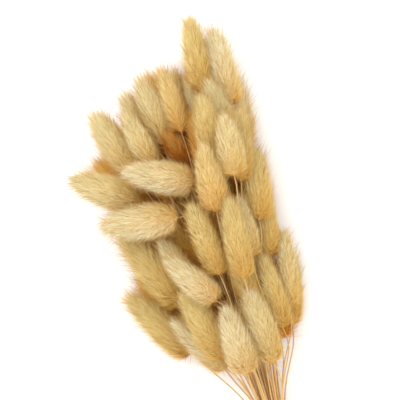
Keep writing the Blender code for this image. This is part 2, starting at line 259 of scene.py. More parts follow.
@dataclass(frozen=True)
class SeedFluff:
    """Dried seed fluff: fine plant hairs, amber where they grow and pale at their ends.

    The hairs scatter light softly, so the shader is rough, with next to no gloss. A hair's colour
    follows its own map: u runs from where other heads hide the sky, and the fluff is painted amber
    as shade, to where the sky is in sight and it is pale, and there from the head's base to its tip.
    v runs from the hair's root to its end.
    """

    name: str
    root: str
    middle: str
    end: str

    def material(self) -> Material:
        """Returns the fluff's material, made once for each tint."""
        known = bpy.data.materials.get(self.name)
        if known:
            return known
        made, tree, shader = new_material(self.name)
        spot = add_node(tree, "ShaderNodeUVMap", {}, uv_map=COLOUR_MAP)
        axes = add_node(tree, "ShaderNodeSeparateXYZ", {"Vector": out(spot)})
        which, along = axes.outputs["X"], axes.outputs["Y"]
        # The short hairs at the head's base are as pale at their roots as in their middles
        paler = add_ramp(tree, which, {0.19: "#000000", 0.27: "#A0A0A0", 0.42: "#000000"})
        stops = {0.06: self.root, 0.34: self.middle, 0.92: self.end}
        hair = add_ramp(tree, calc(tree, "MAXIMUM", along, paler), stops)
        # Stray hairs turn straw-coloured past their roots, and awns are brown, on every head alike
        stray = add_ramp(tree, along, {0.0: self.root, 0.3: "#D2AA60", 0.6: "#C6A666", 1.0: "#BEA46C"})
        awn = add_ramp(tree, along, {0.0: "#6B4318", 0.6: "#8A5C24", 1.0: "#B58A48"})
        # Painted shade: fluff and stray hairs are darkened to amber where other heads hide the sky from
        # their roots
        amber = {0.0: "#DC9438", 0.16: "#ECBA6C", 0.34: "#FAE2B0", 0.6: "#FFFFFF", 0.79: "#FFFFFF"}
        painted_shade = add_ramp(tree, which, {**amber, 0.81: "#DC9438", 0.83: "#F2CC8C", 0.85: "#FFFFFF"})
        colour = hair
        for start, other in ((STRAY_COLOURS_FROM, stray), (AWN_COLOURS_FROM, awn)):
            colour = blend(tree, calc(tree, "GREATER_THAN", which, start), colour, other)
        tree.links.new(blend(tree, 1.0, colour, painted_shade, "MULTIPLY"), shader.inputs["Base Color"])
        shader.inputs["Roughness"].default_value = 0.7
        shader.inputs["Specular IOR Level"].default_value = 0.1
        return made


class Tint(Enum):
    """The fluff colours that the heads of one bunch show."""

    PALE = SeedFluff("pale_seed_fluff", "#DA982C", "#EEE1AC", "#F3F2E0")
    CREAM = SeedFluff("cream_seed_fluff", "#D29022", "#EADB9A", "#F2EED4")
    GOLDEN = SeedFluff("golden_seed_fluff", "#C8801A", "#E5CD7C", "#F0E7B8")
    # The golden brown and amber tints are darker copies for the heads round the hollow: painted shade
    BROWN = SeedFluff("golden_brown_seed_fluff", "#A8600A", "#D09C3C", "#E6C470")
    AMBER = SeedFluff("amber_seed_fluff", "#BC660A", "#DA9632", "#EEBE66")
    WARM = SeedFluff("warm_golden_seed_fluff", "#D0922A", "#ECD186", "#F4EABE")
    PINKISH = SeedFluff("pinkish_seed_fluff", "#D69438", "#EEDDB0", "#F3EED8")
    GREYISH = SeedFluff("greyish_seed_fluff", "#CE9630", "#EADDA2", "#F2EFD2")
    # A darker amber copy of the fluff for the heads under the others: painted shade
    SHADED = SeedFluff("shaded_seed_fluff", "#BC6A0C", "#DEA842", "#ECC66C")


# The heads with longer hairs than the rest, which run into each other at the top of the bunch.
LONG_HAIRED = (16, 17, 20, 21, 22, 23, 24, 25, 26, 27, 28, 29, 38)

# The tint of each stalk's head. The stalks underneath, which aren't listed, get the shaded tint, a darker
# amber that is painted shade.
TINTS = {
    Tint.PALE: (1, 4, 6, 7, 15, 26, 27),
    Tint.CREAM: (2, 5, 11, 13, 14, 18, 19, 20, 21, 33, 37),
    Tint.GOLDEN: (3, 9, 10, 12, 16, 17, 25, 30, 31, 32, 34, 35, 36),
    # The heads round the hollow in the middle of the bunch are darker, golden brown and amber: painted
    # shade
    Tint.BROWN: (40, 41, 42),
    Tint.AMBER: (24, 38, 39),
    Tint.WARM: (8, 22),
    Tint.PINKISH: (28,),
    Tint.GREYISH: (23, 29),
}


@dataclass(frozen=True)
class Straw:
    """Dry grass stem: a smooth thin straw with fine ribs along it, brown at its joints."""

    name: str = "dry_straw"
    rib_spacing: float = 0.35 * MM
    rib_stretch: float = 0.02

    def material(self) -> Material:
        """Returns the straw's material."""
        made, tree, shader = new_material(self.name)
        place = add_node(tree, "ShaderNodeTexCoord", {})
        stretch = add_node(
            tree,
            "ShaderNodeMapping",
            {"Vector": place.outputs["Object"], "Scale": (1.0, self.rib_stretch, 1.0)},
        )
        ribs = add_node(
            tree,
            "ShaderNodeTexNoise",
            {"Vector": out(stretch), "Scale": 1 / self.rib_spacing, "Detail": 2.0},
        )
        height = add_node(tree, "ShaderNodeAttribute", {}, attribute_name="height")
        joint = add_node(tree, "ShaderNodeAttribute", {}, attribute_name="joint")
        # The straw is darker towards its cut end, and darkened under its head where it runs between the
        # heads: painted shade there
        straw = add_ramp(tree, height.outputs["Fac"], {0.0: "#B98D50", 0.5: "#D2A96A", 1.0: "#C99F60"})
        streak = spread(tree, ribs.outputs["Fac"], 0.75, 1.2)
        varied = add_node(tree, "ShaderNodeHueSaturation", {"Value": streak, "Color": straw})
        colour = blend(tree, joint.outputs["Fac"], out(varied), linear("#8A5A2A"))
        bump = add_node(
            tree, "ShaderNodeBump", {"Height": ribs.outputs["Fac"], "Strength": 0.3, "Distance": 0.05 * MM}
        )
        tree.links.new(colour, shader.inputs["Base Color"])
        tree.links.new(out(bump), shader.inputs["Normal"])
        shader.inputs["Roughness"].default_value = 0.48
        return made


@dataclass(frozen=True)
class Jute:
    """Jute twine: coarse brown plant fibres spun into plies, with no shine.

    The fibres are drawn about three times as coarse as real ones, so that they show.
    """

    name: str = "jute_twine"
    fibre: float = 0.12 * MM
    fineness: float = 0.3

    def material(self) -> Material:
        """Returns the twine's material."""
        made, tree, shader = new_material(self.name)
        place = add_node(tree, "ShaderNodeTexCoord", {})
        fibres = add_node(
            tree,
            "ShaderNodeTexNoise",
            {"Vector": place.outputs["Object"], "Scale": self.fineness / self.fibre, "Detail": 4.0},
        )
        colour = add_ramp(tree, fibres.outputs["Fac"], {0.3: "#7D5B34", 0.5: "#A98455", 0.7: "#C4A377"})
        bump = add_node(
            tree, "ShaderNodeBump", {"Height": fibres.outputs["Fac"], "Strength": 0.5, "Distance": 0.1 * MM}
        )
        tree.links.new(colour, shader.inputs["Base Color"])
        tree.links.new(out(bump), shader.inputs["Normal"])
        shader.inputs["Roughness"].default_value = 0.85
        shader.inputs["Specular IOR Level"].default_value = 0.3
        return made


@dataclass(frozen=True)
class TableTop:
    """Matt white lacquer: an even pale table, with no pattern."""

    name: str = "matt_white_lacquer"

    def material(self) -> Material:
        """Returns the table's material."""
        made, _tree, shader = new_material(self.name)
        shader.inputs["Base Color"].default_value = linear("#F7F7F6")
        shader.inputs["Roughness"].default_value = 0.9
        return made


@dataclass
class Stalk:
    """What a packed stalk's solid says: its stem's line, its head's ends and its head's radius."""

    number: int
    stem: np.ndarray
    base: np.ndarray
    tip: np.ndarray
    radius: float

    @property
    def tint(self) -> Tint:
        """The tint of this stalk's fluff."""
        return next((tint for tint, numbers in TINTS.items() if self.number in numbers), Tint.SHADED)

    @property
    def node(self) -> str:
        """The name of the solid that this stalk stands for."""
        return f"stalk_{self.number:02d}"


def read_stalk(number: int) -> Stalk:
    """Reads a stalk's line and head from a welded copy of its solid.

    Rings of four points run up the stem. The collar where the stem enters the head follows them,
    then the head's rows, and last its tip.

    Args:
        number: The stalk's number in the frame.

    Returns:
        The stalk.
    """
    weld, cut_end, widest_stem = 0.01 * MM, 0.5 * MM, 1.0 * MM
    mesh = bmesh.new()
    mesh.from_mesh(frame["nodes"][f"stalk_{number:02d}"].data)
    bmesh.ops.remove_doubles(mesh, verts=mesh.verts, dist=weld)
    lowest = min(vert.co.y for vert in mesh.verts)
    layer = {vert for vert in mesh.verts if vert.co.y < lowest + cut_end}
    seen = set(layer)
    rows = []
    while layer:
        points = np.array([vert.co for vert in layer])
        middle = points.mean(axis=0)
        rows.append((len(points), middle, np.linalg.norm(points - middle, axis=1).max()))
        layer = {edge.other_vert(vert) for vert in layer for edge in vert.link_edges} - seen
        seen |= layer
    mesh.free()
    collar = next(i for i, (count, _, spread) in enumerate(rows) if count != 4 or spread > widest_stem)
    return Stalk(
        number=number,
        stem=np.array([middle for _, middle, _ in rows[: collar + 1]]),
        base=rows[collar][1],
        tip=rows[-1][1],
        radius=max(spread for _, _, spread in rows),
    )


def line_mesh(
    name: str, points: np.ndarray, values: dict[str, np.ndarray], closed: bool = False
) -> Object:
    """Makes an object whose mesh is one line of edges.

    Args:
        name: The object's name.
        points: The line's points.
        values: Attribute names, and a number for each point.
        closed: Whether the last point joins the first.

    Returns:
        The object, linked to the scene.
    """
    count = len(points)
    edges = [(i, i + 1) for i in range(count - 1)] + ([(count - 1, 0)] if closed else [])
    mesh = bpy.data.meshes.new(name)
    mesh.from_pydata([tuple(point) for point in points], edges, [])
    for key, numbers in values.items():
        made = mesh.attributes.new(key, "FLOAT", "POINT")
        made.data.foreach_set("value", np.asarray(numbers, np.float32))
    return placed(name, mesh)


def grown(holder: Object, tree: NodeTree, values: dict[str, Any]) -> Object:
    """Runs a Geometry Nodes tree on an object and leaves the result as a plain mesh.

    Args:
        holder: The object whose mesh the tree starts from.
        tree: The tree.
        values: Names of the tree's inputs, and their values.

    Returns:
        The same object, with the result as its mesh.
    """
    modifier = holder.modifiers.new("grow", "NODES")
    modifier.node_group = tree
    for item in tree.interface.items_tree:
        if item.item_type == "SOCKET" and item.in_out == "INPUT" and item.name in values:
            modifier[item.identifier] = values[item.name]
    before = holder.data
    evaluated = holder.evaluated_get(bpy.context.evaluated_depsgraph_get())
    result = bpy.data.meshes.new_from_object(evaluated)
    holder.modifiers.clear()
    holder.data = result
    bpy.data.meshes.remove(before)
    result.name = holder.name
    return holder


def new_tree(name: str, sockets: dict[str, tuple[str, Any]]) -> tuple[NodeTree, Any]:
    """Starts a Geometry Nodes tree with geometry in and out and named inputs.

    Args:
        name: The tree's name.
        sockets: Input names, each with its socket type and its value if nothing is set.

    Returns:
        The tree and its input node.
    """
    tree = bpy.data.node_groups.new(name, "GeometryNodeTree")
    tree.interface.new_socket("Geometry", in_out="INPUT", socket_type="NodeSocketGeometry")
    tree.interface.new_socket("Geometry", in_out="OUTPUT", socket_type="NodeSocketGeometry")
    for key, (kind, value) in sockets.items():
        made = tree.interface.new_socket(key, in_out="INPUT", socket_type=kind)
        if value is not None:
            made.default_value = value
    return tree, tree.nodes.new("NodeGroupInput")


def hair_layer_tree() -> NodeTree:
    """Builds the tree that raises one layer of hairs from a surface.

    A hair starts along the surface's own lay, lifted off it by Rise. Clumps tip neighbouring hairs
    the same way, and Tangle tips each on its own.

    Returns:
        The tree, whose result holds the hairs only.
    """
    tree, given = new_tree(
        "hair_layer",
        {
            "Hair": ("NodeSocketObject", None),
            "Density": ("NodeSocketFloat", 1.0),
            "More At Tip": ("NodeSocketFloat", 1.0),
            "Length": ("NodeSocketFloat", 0.007),
            "Longer At Tip": ("NodeSocketFloat", 1.0),
            "Width": ("NodeSocketFloat", 0.0003),
            "Rise At Base": ("NodeSocketFloat", 1.0),
            "Rise At Tip": ("NodeSocketFloat", 0.3),
            "Clumps": ("NodeSocketFloat", 0.5),
            "Clump Size": ("NodeSocketFloat", 0.003),
            "Tangle": ("NodeSocketFloat", 0.2),
            "Colour From": ("NodeSocketFloat", 0.0),
            "Colour To": ("NodeSocketFloat", 0.88),
            "Seed": ("NodeSocketInt", 0),
        },
    )
    put = given.outputs
    lay, along = stored(tree, "lay", "FLOAT_VECTOR"), stored(tree, "along")
    more = spread(tree, along, 1.0, put["More At Tip"], TIP_FROM)
    longer = spread(tree, along, 1.0, put["Longer At Tip"], TIP_FROM)
    density = calc(tree, "MULTIPLY", put["Density"], more)
    length = calc(tree, "MULTIPLY", put["Length"], longer)
    points = add_node(
        tree,
        "GeometryNodeDistributePointsOnFaces",
        {"Mesh": put["Geometry"], "Density": density, "Seed": put["Seed"]},
        distribute_method="RANDOM",
    )
    normal = points.outputs["Normal"]
    rise = spread(tree, along, put["Rise At Base"], put["Rise At Tip"])
    start = vector(tree, "ADD", lay, vector(tree, "SCALE", normal, rise))

    place = out(add_node(tree, "GeometryNodeInputPosition", {}))
    scale = calc(tree, "DIVIDE", 1.0, put["Clump Size"])
    drift = add_node(tree, "ShaderNodeTexNoise", {"Vector": place, "Scale": scale, "Detail": 1.0})
    centred = vector(tree, "SUBTRACT", drift.outputs["Color"], (0.5, 0.5, 0.5))
    clumps = vector(tree, "SCALE", centred, put["Clumps"])
    stray = drawn(tree, (-1.0, -1.0, -1.0), (1.0, 1.0, 1.0), put["Seed"])
    tangle = vector(tree, "SCALE", stray, put["Tangle"])
    aim = vector(tree, "ADD", vector(tree, "ADD", start, clumps), tangle)

    pointed = add_node(tree, "FunctionNodeAlignRotationToVector", {"Vector": aim}, axis="Z")
    faced = add_node(
        tree,
        "FunctionNodeAlignRotationToVector",
        {"Rotation": out(pointed), "Vector": normal},
        axis="X",
        pivot_axis="Z",
    )
    roll = drawn(tree, -1.0, 1.0, put["Seed"])
    turn = add_node(tree, "FunctionNodeAxisAngleToRotation", {"Axis": (0.0, 0.0, 1.0), "Angle": roll})
    rotation = add_node(
        tree,
        "FunctionNodeRotateRotation",
        {"Rotation": out(faced), "Rotate By": out(turn)},
        rotation_space="LOCAL",
    )
    full = add_node(tree, "ShaderNodeCombineXYZ", {0: length, 1: put["Width"], 2: length})
    size = vector(tree, "MULTIPLY", out(full), drawn(tree, *HAIR_SIZES, put["Seed"]))
    shape = add_node(tree, "GeometryNodeObjectInfo", {"Object": put["Hair"]}, transform_space="ORIGINAL")
    instances = add_node(
        tree,
        "GeometryNodeInstanceOnPoints",
        {
            "Points": points.outputs["Points"],
            "Instance": shape.outputs["Geometry"],
            "Rotation": out(rotation),
            "Scale": size,
        },
    )
    mixed = add_node(
        tree,
        "ShaderNodeMix",
        {0: CHANCE_IN_COLOUR, 2: along, 3: drawn(tree, 0.0, 1.0, put["Seed"])},
        data_type="FLOAT",
    )
    # A hair's place on the colour map follows its place on the head, chance and how much sky its root has
    # in sight; less sky gives more painted shade
    above = calc(tree, "MULTIPLY_ADD", out(mixed), 1 - PALENESS_AT_BASE, PALENESS_AT_BASE)
    shade = calc(tree, "MULTIPLY", above, stored(tree, "bleached"))
    which = spread(tree, shade, put["Colour From"], put["Colour To"])
    coloured = add_node(
        tree,
        "GeometryNodeStoreNamedAttribute",
        {"Geometry": out(instances), "Name": "which", "Value": which},
        data_type="FLOAT",
        domain="INSTANCE",
    )
    real = add_node(tree, "GeometryNodeRealizeInstances", {"Geometry": out(coloured)})
    shift = add_node(tree, "ShaderNodeCombineXYZ", {0: stored(tree, "which")})
    spot = vector(tree, "ADD", stored(tree, COLOUR_MAP, "FLOAT_VECTOR"), out(shift))
    mapped = add_node(
        tree,
        "GeometryNodeStoreNamedAttribute",
        {"Geometry": out(real), "Name": COLOUR_MAP, "Value": spot},
        data_type="FLOAT2",
        domain="CORNER",
    )
    clear = add_node(tree, "GeometryNodeRemoveAttribute", {"Geometry": out(mapped), "Name": "which"})
    add_node(tree, "NodeGroupOutput", {"Geometry": out(clear)})
    return tree


@dataclass(frozen=True)
class HairLayer:
    """One layer of hairs on a head. Lengths are metres, and density is hairs per square metre."""

    shape: str
    density: float
    more_at_tip: float
    length: float
    longer_at_tip: float
    width: float
    rise_at_base: float
    rise_at_tip: float
    clumps: float
    clump_size: float
    tangle: float
    colours: tuple[float, float]

    def add_to(self, tree: NodeTree, layer: NodeTree, sockets: Any, seed: int) -> Any:
        """Adds this layer to the tree that raises all of a head's hairs.

        Args:
            tree: The tree of the whole head.
            layer: The tree that raises one layer.
            sockets: The outputs of the whole tree's input node.
            seed: This layer's own seed, added to the head's.

        Returns:
            The socket with the layer's hairs.
        """
        values = {
            "Geometry": sockets["Geometry"],
            "Hair": sockets[self.shape],
            "Density": calc(tree, "MULTIPLY", sockets["Fullness"], self.density),
            "More At Tip": self.more_at_tip,
            "Length": calc(tree, "MULTIPLY", sockets["Reach"], self.length),
            "Longer At Tip": self.longer_at_tip,
            "Width": self.width,
            "Rise At Base": self.rise_at_base,
            "Rise At Tip": self.rise_at_tip,
            "Clumps": self.clumps,
            "Clump Size": self.clump_size,
            "Tangle": self.tangle,
            "Colour From": self.colours[0],
            "Colour To": self.colours[1],
            "Seed": calc(tree, "ADD", sockets["Seed"], float(seed)),
        }
        return out(add_node(tree, "GeometryNodeGroup", values, node_tree=layer))


# Each layer's values are its shape, density, share more at the tip, length, share longer at the tip,
# width, rise at the base and at the tip, clumps, clump size, tangle and colours
FLUFF_LAYERS = (
    # The fluff itself: dense soft hairs that lie towards the tip in small tufts
    HairLayer("Hair", 1.6e6, 1.5, 7.5 * MM, 1.15, 0.25 * MM, 0.75, 0.35, 0.42, 2.6 * MM, 0.22, (0, 0.78)),
    # Finer hairs that stand out of it and soften it
    HairLayer("Fine Hair", 3e6, 1.8, 8.5 * MM, 1.3, 0.15 * MM, 0.95, 0.5, 0.45, 3 * MM, 0.4, (0.03, 0.78)),
    # Stray straw-coloured hairs, longest at the tip, which blur its outline
    HairLayer("Hair", 0.16e6, 5.5, 11.5 * MM, 1.35, 0.2 * MM, 1, 0.75, 0.8, 3 * MM, 0.6, (0.81, 0.88)),
    # Darker bristles among them, which show as specks
    HairLayer("Fine Hair", 0.06e6, 1, 6.5 * MM, 1, 0.3 * MM, 0.9, 0.5, 0.5, 3 * MM, 0.5, (0.92, 0.97)),
    # Awns: long, thin and darker
    HairLayer("Hair", 0.022e6, 1.5, 12 * MM, 1.1, 0.2 * MM, 0.7, 0.45, 0.4, 4 * MM, 0.4, (0.92, 0.97)),
)


def fluff_tree() -> NodeTree:
    """Builds the tree that covers a head's core with every layer of its hairs, which never go below the
    table.

    Returns:
        The tree.
    """
    tree, given = new_tree(
        "head_fluff",
        {
            "Hair": ("NodeSocketObject", None),
            "Fine Hair": ("NodeSocketObject", None),
            "Fluff": ("NodeSocketMaterial", None),
            "Fullness": ("NodeSocketFloat", 1.0),
            "Reach": ("NodeSocketFloat", 1.0),
            "Seed": ("NodeSocketInt", 0),
        },
    )
    layer = hair_layer_tree()
    put = given.outputs
    hairs = [made.add_to(tree, layer, put, i) for i, made in enumerate(FLUFF_LAYERS)]
    joined = add_node(tree, "GeometryNodeJoinGeometry", {"Geometry": [put["Geometry"], *hairs]})
    place = add_node(tree, "GeometryNodeInputPosition", {})
    axes = add_node(tree, "ShaderNodeSeparateXYZ", {"Vector": out(place)})
    height = calc(tree, "MAXIMUM", axes.outputs["Z"], TABLE_CLEARANCE)
    above = add_node(tree, "ShaderNodeCombineXYZ", {0: axes.outputs["X"], 1: axes.outputs["Y"], 2: height})
    rested = add_node(tree, "GeometryNodeSetPosition", {"Geometry": out(joined), "Position": out(above)})
    return end_tree(tree, rested, put["Fluff"])


def hair_shape(name: str, levels: tuple[tuple[float, float, float], ...]) -> Object:
    """Makes the blade that stands for one hair, one long and one wide, with a pointed end.

    Args:
        name: The shape's name, which is also the name of the tree's input for it.
        levels: Height, width and bend of the blade, from its root to its end.

    Returns:
        The blade's object.
    """
    mesh = bpy.data.meshes.new(name)
    points = [(bend, side * width / 2, up) for up, width, bend in levels[:-1] for side in (-1, 1)]
    points.append((levels[-1][2], 0.0, levels[-1][0]))
    last = len(points) - 1
    faces = [(i, i + 1, i + 3, i + 2) for i in range(0, last - 2, 2)] + [(last - 2, last - 1, last)]
    mesh.from_pydata(points, [], faces)
    layer = mesh.uv_layers.new(name=COLOUR_MAP)
    for loop, corner in zip(mesh.loops, layer.data):
        _, across, up = mesh.vertices[loop.vertex_index].co
        corner.uv = (HAIR_STRIP / 2 + HAIR_STRIP * across, up)
    return placed(name, mesh)


# A bent blade for the hairs that show singly, and a single face for the many fine ones
HAIR_SHAPES = {
    "Hair": ((0.0, 0.9, 0.0), (0.52, 1.0, -0.09), (1.0, 0.0, -0.3)),
    "Fine Hair": ((0.0, 1.0, 0.0), (1.0, 0.0, -0.15)),
}


@dataclass(frozen=True)
class CoreSurface:
    """A core's points, and at each its way outwards, the way its hairs lie, and its place to the tip."""

    points: np.ndarray
    outward: np.ndarray
    lay: np.ndarray
    along: np.ndarray
    faces: list[tuple[int, ...]]


@dataclass
class SkyOcclusion:
    """The sky over the bunch, as the heads round a place leave it in sight, which sets the fluff's painted
    shade.
    """

    surfaces: list[CoreSurface]
    directions: int = 24
    reach: float = 50.0 * MM
    clearance: float = 1.5 * MM
    least_facing: float = 0.05
    least: float = 0.13
    most: float = 0.45
    heads: BVHTree = field(init=False)
    sky: list[Vector] = field(init=False)

    def __post_init__(self) -> None:
        """Gathers every head's core, and spreads directions evenly over the sky."""
        points, faces = [], []
        for surface in self.surfaces:
            faces += [tuple(len(points) + i for i in face) for face in surface.faces]
            points += [Vector(point) for point in surface.points]
        self.heads = BVHTree.FromPolygons(points, faces)
        golden = math.pi * (3 - math.sqrt(5))
        self.sky = []
        for i in range(self.directions):
            up = (i + 0.5) / self.directions
            level = math.sqrt(1 - up**2)
            self.sky.append(Vector((math.cos(golden * i) * level, math.sin(golden * i) * level, up)))

    def sky_openness(self, surface: CoreSurface) -> np.ndarray:
        """Tells how much sky each point of a core has in sight, which sets its painted shade.

        Args:
            surface: The core.

        Returns:
            A number for each point, from 0 where little sky is in sight to 1.
        """
        shares = []
        for point, outward in zip(surface.points, surface.outward):
            away = Vector(outward)
            start = Vector(point) + self.clearance * away
            facing = [way for way in self.sky if way.dot(away) > self.least_facing]
            in_sight = sum(self.heads.ray_cast(start, way, self.reach)[0] is None for way in facing)
            shares.append(in_sight / self.directions)
        return np.clip((np.array(shares) - self.least) / (self.most - self.least), 0.0, 1.0)


@dataclass
class Head:
    """A stalk's head: a core as dark as the roots, and all its hairs."""

    stalk: Stalk
    fullness: float = 1.0
    core_share: float = 0.8
    reach: float = 1.0
    columns: int = 18
    rows: int = 16
    widest_at: float = 0.42
    bluntness: float = 0.45
    core_from: float = 0.02
    core_to: float = 0.94
    least_lean: float = -0.3
    most_lean: float = 0.7
    core_colours: tuple[float, float] = (0.3, 0.5)
    core_shades: float = 0.7
    core_strip: float = 0.03
    usual_radius: float = 10.5 * MM

    def outline(self, along: np.ndarray) -> np.ndarray:
        """Returns the head's radius as a share of its greatest, from its base at 0 to its tip at 1."""
        power = math.log(0.5) / math.log(self.widest_at)
        return np.sin(math.pi * np.clip(along, 0.0, 1.0) ** power) ** self.bluntness

    def surface(self) -> CoreSurface:
        """Lays out the closed core.

        Returns:
            Its surface.
        """
        stalk = self.stalk
        axis = stalk.tip - stalk.base
        length = np.linalg.norm(axis)
        axis = axis / length
        side = np.cross(axis, (0.0, 0.0, 1.0))
        side /= np.linalg.norm(side)
        other = np.cross(axis, side)
        along = np.linspace(0.0, 1.0, self.rows + 1)
        span = self.core_from + (self.core_to - self.core_from) * along
        widths = stalk.radius * self.core_share * self.outline(along)
        points, outs, lays, places = [], [], [], []
        for i in range(self.rows + 1):
            before, after = max(i - 1, 0), min(i + 1, self.rows)
            rise = (span[after] - span[before]) * length
            widen = widths[after] - widths[before]
            count = 1 if i in (0, self.rows) else self.columns
            for column in range(count):
                angle = 2 * math.pi * (column + 0.5 * (i % 2)) / self.columns
                outward = math.cos(angle) * side + math.sin(angle) * other
                width = widths[i] if count > 1 else 0.0
                points.append(stalk.base + axis * span[i] * length + outward * width)
                outs.append(outward if count > 1 else axis * (1 if i else -1))
                lay = axis + outward * min(max(widen / rise, self.least_lean), self.most_lean)
                lays.append(lay / np.linalg.norm(lay))
                places.append(along[i])
        return CoreSurface(
            np.array(points), np.array(outs), np.array(lays), np.array(places), self.core_faces()
        )

    def core(self, sky_occlusion: SkyOcclusion) -> Object:
        """Makes the core, with what the hairs follow stored on it.

        Args:
            sky_occlusion: The sky in sight, which sets its painted shade.

        Returns:
            The core's object.
        """
        surface = self.surface()
        bleached = sky_occlusion.sky_openness(surface)
        mesh = bpy.data.meshes.new(f"head_{self.stalk.number:02d}")
        mesh.from_pydata([tuple(point) for point in surface.points], [], surface.faces)
        mesh.attributes.new("lay", "FLOAT_VECTOR", "POINT").data.foreach_set(
            "vector", surface.lay.astype(np.float32).ravel()
        )
        for name, values in (("along", surface.along), ("bleached", bleached)):
            made = mesh.attributes.new(name, "FLOAT", "POINT")
            made.data.foreach_set("value", values.astype(np.float32))
        layer = mesh.uv_layers.new(name=COLOUR_MAP)
        low, high = self.core_colours
        # The core's colour is darker amber where less sky is in sight: painted shade
        for face in mesh.polygons:
            shade = self.core_shades * bleached[list(face.vertices)].mean()
            for step, corner in enumerate(face.loop_indices):
                across, up = (0.0, self.core_strip, self.core_strip)[step], (0.0, 0.0, 1.0)[step]
                layer.data[corner].uv = (shade + across, low + (high - low) * up)
        return placed(mesh.name, mesh)

    def core_faces(self) -> list[tuple[int, ...]]:
        """Returns the core's faces, which close at both poles and point outwards."""
        last = 1 + (self.rows - 1) * self.columns
        ring = [[1 + row * self.columns + c for c in range(self.columns)] for row in range(self.rows - 1)]
        pairs = [(c, (c + 1) % self.columns) for c in range(self.columns)]
        faces = [(0, ring[0][n], ring[0][c]) for c, n in pairs]
        for row, (low, high) in enumerate(zip(ring, ring[1:])):
            for c, n in pairs:
                # Every other row starts half a column further on
                left, right = (high[n], low[c]) if row % 2 else (high[c], low[n])
                faces += [(low[c], low[n], left), (right, high[n], high[c])]
        return faces + [(last, ring[-1][c], ring[-1][n]) for c, n in pairs]

    def build(
        self, tree: NodeTree, shapes: dict[str, Object], sky_occlusion: SkyOcclusion
    ) -> Object:
        """Makes the head's piece and hangs it on the frame.

        Args:
            tree: The tree that raises the hairs.
            shapes: The blades that stand for one hair, by the names of the tree's inputs.
            sky_occlusion: The sky in sight, which sets the fluff's painted shade.

        Returns:
            The piece.
        """
        values = {
            **shapes,
            "Fluff": self.stalk.tint.value.material(),
            "Fullness": self.fullness,
            "Reach": self.reach * (self.stalk.radius / self.usual_radius) ** 0.5,
            "Seed": SEED + 10 * self.stalk.number,
        }
        piece = grown(self.core(sky_occlusion), tree, values)
        for name in ("lay", "along", "bleached"):
            if name in piece.data.attributes:
                piece.data.attributes.remove(piece.data.attributes[name])
        return hang(piece, self.stalk.node)


def tube_tree() -> NodeTree:
    """Builds the tree that gives a line of edges a round section and closed ends.

    Returns:
        The tree.
    """
    tree, given = new_tree(
        "stem_tube",
        {"Sides": ("NodeSocketInt", 8), "Straw": ("NodeSocketMaterial", None)},
    )
    put = given.outputs
    line = add_node(tree, "GeometryNodeMeshToCurve", {"Mesh": put["Geometry"]})
    ring = add_node(tree, "GeometryNodeCurvePrimitiveCircle", {"Resolution": put["Sides"], "Radius": 1.0})
    thickness = stored(tree, "thickness")
    tube = add_node(
        tree,
        "GeometryNodeCurveToMesh",
        {"Curve": out(line), "Profile Curve": out(ring), "Scale": thickness, "Fill Caps": True},
    )
    return end_tree(tree, tube, put["Straw"])


def smooth_line(points: np.ndarray, spacing: float, closed: bool = False) -> np.ndarray:
    """Draws a Catmull-Rom curve through points.

    Args:
        points: The points.
        spacing: The distance between the curve's points, at most.
        closed: Whether the curve returns to its first point.

    Returns:
        The curve's points.
    """
    if closed:
        ring = np.vstack([points[-1:], points, points[:2]])
    else:
        ring = np.vstack([2 * points[0] - points[1], points, 2 * points[-1] - points[-2]])
    found = []
    for a, b, c, d in zip(ring, ring[1:], ring[2:], ring[3:]):
        steps = max(1, math.ceil(np.linalg.norm(c - b) / spacing))
        for t in np.arange(steps) / steps:
            square, cube = 2 * a - 5 * b + 4 * c - d, 3 * b - a - 3 * c + d
            found.append(0.5 * (2 * b + (c - a) * t + square * t**2 + cube * t**3))
    if not closed:
        found.append(points[-1])
    return np.array(found)


@dataclass
class Stem:
    """A stalk's straw: thick at its cut end, thin under its head, with two joints in it."""

    stalk: Stalk
    radius_at_cut: float = 0.72 * MM
    radius_at_neck: float = 0.4 * MM
    into_head: float = 12.0 * MM
    spacing: float = 9.0 * MM
    joints_between_mm: tuple[tuple[float, float], ...] = ((20, 45), (95, 130))
    joint_length: float = 1.3 * MM
    joint_stations: tuple[float, ...] = (-1.0, -0.35, 0.0, 0.35, 1.0)
    joint_bulge: float = 0.3
    sides: int = 6

    def build(self, tree: NodeTree, straw: Material) -> Object:
        """Makes the stem's piece and hangs it on the frame.

        Args:
            tree: The tree that gives a line its round section.
            straw: The straw's material.

        Returns:
            The piece.
        """
        stalk = self.stalk
        axis = (stalk.tip - stalk.base) / np.linalg.norm(stalk.tip - stalk.base)
        line = smooth_line(np.vstack([stalk.stem, stalk.base + axis * self.into_head]), self.spacing)
        steps = np.linalg.norm(np.diff(line, axis=0), axis=1)
        run = np.concatenate([[0.0], np.cumsum(steps)])
        chance = np.random.default_rng(SEED + stalk.number)
        joints = [chance.uniform(*between) * MM for between in self.joints_between_mm]
        extra = [joint + self.joint_length * step for joint in joints for step in self.joint_stations]
        stations = np.sort(np.concatenate([run, extra]))
        points = np.column_stack([np.interp(stations, run, line[:, k]) for k in range(3)])
        near = sum(np.clip(1 - np.abs(stations - joint) / self.joint_length, 0.0, 1.0) for joint in joints)
        height = stations / run[-1]
        thickness = self.radius_at_cut + (self.radius_at_neck - self.radius_at_cut) * height
        thickness = thickness * (1 + self.joint_bulge * near)
        values = {"thickness": thickness, "height": height, "joint": near}
        holder = line_mesh(f"stem_{stalk.number:02d}", points, values)
        return hang(grown(holder, tree, {"Sides": self.sides, "Straw": straw}), stalk.node)


